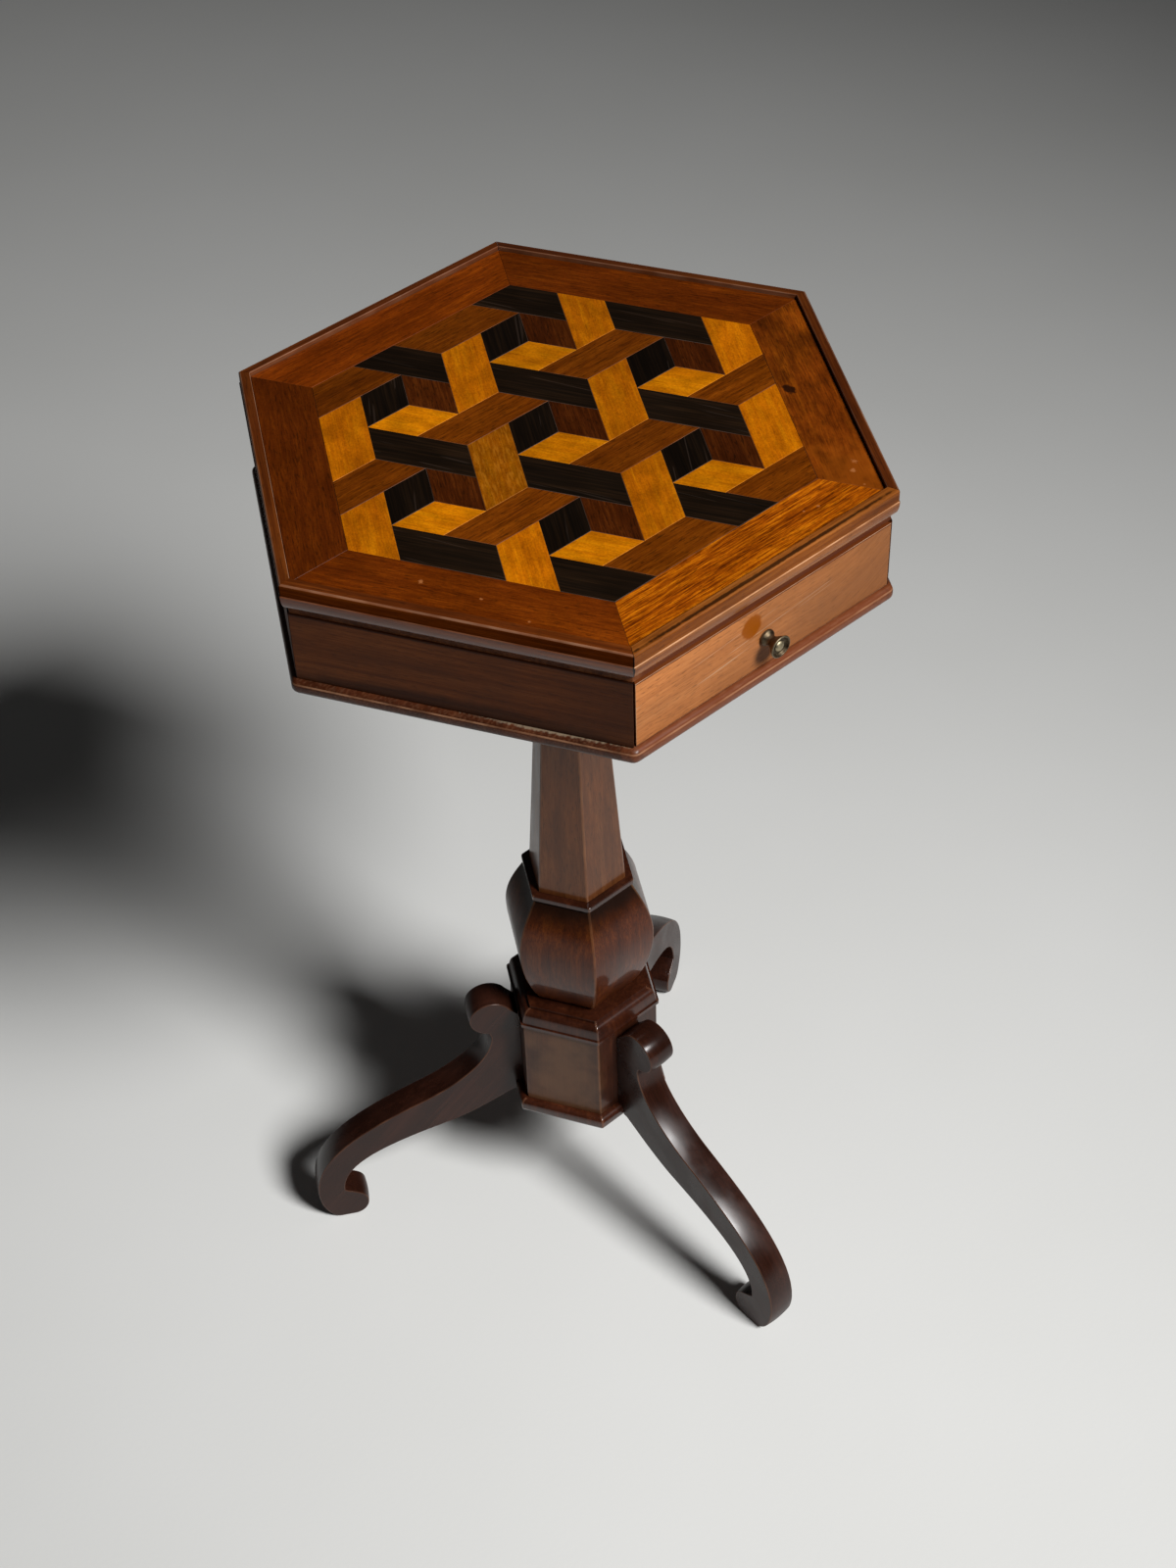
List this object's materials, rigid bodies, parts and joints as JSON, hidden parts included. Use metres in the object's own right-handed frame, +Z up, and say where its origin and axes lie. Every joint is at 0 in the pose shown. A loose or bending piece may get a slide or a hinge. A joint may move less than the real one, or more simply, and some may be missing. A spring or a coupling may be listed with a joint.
{
  "type": "hexagonal side table",
  "caption": "Antique tripod side table with a hexagonal parquetry top in a raised lip, a shallow case with a full-width drawer, a faceted column with a bulb, and scroll legs",
  "frame": {"origin": "on the floor, under the middle of the table's outer box; the column stands 17 mm behind it because the front foot reaches further than the case", "axes": "+Z up, -Y out of the drawer's front, +X to the right of a person who faces the drawer"},
  "size_m": [0.416, 0.3954, 0.7178],
  "materials": {
    "ebony": "near-black close-grained veneer with brown streaks, waxed",
    "walnut": "mid-brown straight-grained veneer, waxed",
    "satinwood": "golden mottled veneer, waxed",
    "parquetry": "veneers of three woods, near-black, brown and golden, waxed",
    "mahogany_border": "golden to red-brown figured veneer, waxed",
    "mahogany_moulding": "red-brown moulding, polished, worn on its arrises",
    "mahogany_case": "dark brown veneer, satin",
    "mahogany_front": "faded pinkish-tan veneer with fine level grain, satin",
    "mahogany_column": "dark chestnut, French polished",
    "mahogany_leg": "very dark red-brown, French polished",
    "pine": "plain unfinished softwood",
    "aged_brass": "dull aged brass with a dark rim",
    "dark_steel": "darkened steel"
  },
  "bodies": {
    "table": {"base_block": "mahogany_column", "base_moulding": "mahogany_column", "base_plinth": "mahogany_column", "bearer_screw_1": "dark_steel", "bearer_screw_2": "dark_steel", "bearer_screw_3": "dark_steel", "border_strip_back": "mahogany_border", "border_strip_front": "mahogany_border", "border_strip_left_back": "mahogany_border", "border_strip_left_front": "mahogany_border", "border_strip_right_back": "mahogany_border", "border_strip_right_front": "mahogany_border", "bottom_board": "mahogany_moulding", "bulb": "mahogany_column", "case_side_back": "mahogany_case", "case_side_left_back": "mahogany_case", "case_side_left_front": "mahogany_case", "case_side_right_back": "mahogany_case", "case_side_right_front": "mahogany_case", "column_bearer": "mahogany_case", "drawer_guide_left": "pine", "drawer_guide_right": "pine", "drawer_stop": "pine", "leg_front": "mahogany_leg", "leg_left": "mahogany_leg", "leg_right": "mahogany_leg", "parquetry_edge_bar_1": "walnut", "parquetry_edge_bar_2": "ebony", "parquetry_edge_bar_3": "walnut", "parquetry_edge_bar_4": "ebony", "parquetry_edge_bar_5": "walnut", "parquetry_edge_bar_6": "satinwood", "parquetry_edge_bar_7": "ebony", "parquetry_edge_bar_8": "satinwood", "parquetry_edge_bar_9": "satinwood", "parquetry_motif_1": "parquetry", "parquetry_motif_2": "parquetry", "parquetry_motif_3": "parquetry", "parquetry_motif_4": "parquetry", "parquetry_motif_5": "parquetry", "parquetry_motif_6": "parquetry", "parquetry_motif_7": "parquetry", "shaft": "mahogany_column", "shaft_collar": "mahogany_column", "top_board": "pine", "top_moulding_back": "mahogany_moulding", "top_moulding_front": "mahogany_moulding", "top_moulding_left_back": "mahogany_moulding", "top_moulding_left_front": "mahogany_moulding", "top_moulding_right_back": "mahogany_moulding", "top_moulding_right_front": "mahogany_moulding"},
    "drawer": {"drawer_front": "mahogany_front", "drawer_side_left": "pine", "drawer_side_right": "pine", "drawer_back": "pine", "drawer_bottom": "pine", "drawer_knob": "aged_brass", "knob_nut": "aged_brass"}
  },
  "joints": [
    {"name": "drawer_slide", "type": "slide", "parent": "table", "child": "drawer", "axis": [0, -1, 0], "range_m": [0, 0.22]}
  ]
}
